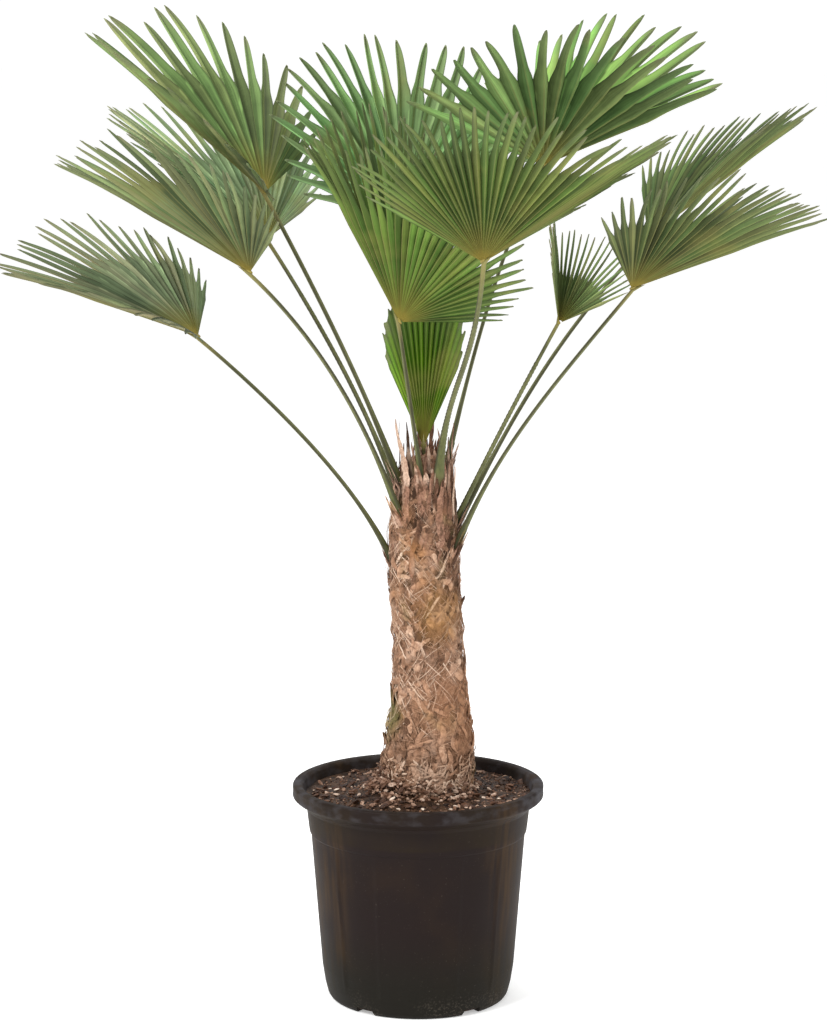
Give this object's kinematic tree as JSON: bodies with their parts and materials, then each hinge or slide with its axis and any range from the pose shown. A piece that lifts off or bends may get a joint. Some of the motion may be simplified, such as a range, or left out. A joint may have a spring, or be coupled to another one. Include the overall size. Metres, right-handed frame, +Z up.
{
  "type": "potted palm plant",
  "caption": "Potted fan palm: pleated fan fronds on slender stalks over a fibrous trunk, set in soil in a round nursery pot with a rolled lip.",
  "frame": {"origin": "centre of the pot's flat underside", "axes": "+Z up along the pot's axis, +X to the right and -Y towards the viewer in the reference view"},
  "size_m": [1.2224, 0.9569, 1.4911],
  "materials": {
    "black_plastic": "satin moulded black nursery plastic, faintly dusty",
    "potting_soil": "dark crumbly potting mix with bark chips",
    "trunk_fibre": "matted brown palm fibre over old leaf bases",
    "leaf_green": "semi-matt green, paler and greyer beneath",
    "young_leaf_green": "semi-matt bright young green"
  },
  "bodies": {
    "root": {"pot": "black_plastic", "soil": "potting_soil", "trunk": "trunk_fibre", "frond_left_top": "leaf_green", "frond_left_mid": "leaf_green", "frond_left_low": "leaf_green", "frond_left_back": "leaf_green", "frond_back_top": "leaf_green", "frond_right_top": "leaf_green", "frond_front_right": "leaf_green", "frond_front_centre": "leaf_green", "frond_right_back": "leaf_green", "frond_right_low": "leaf_green", "frond_right_small": "leaf_green", "frond_spear": "young_leaf_green"}
  },
  "joints": []
}
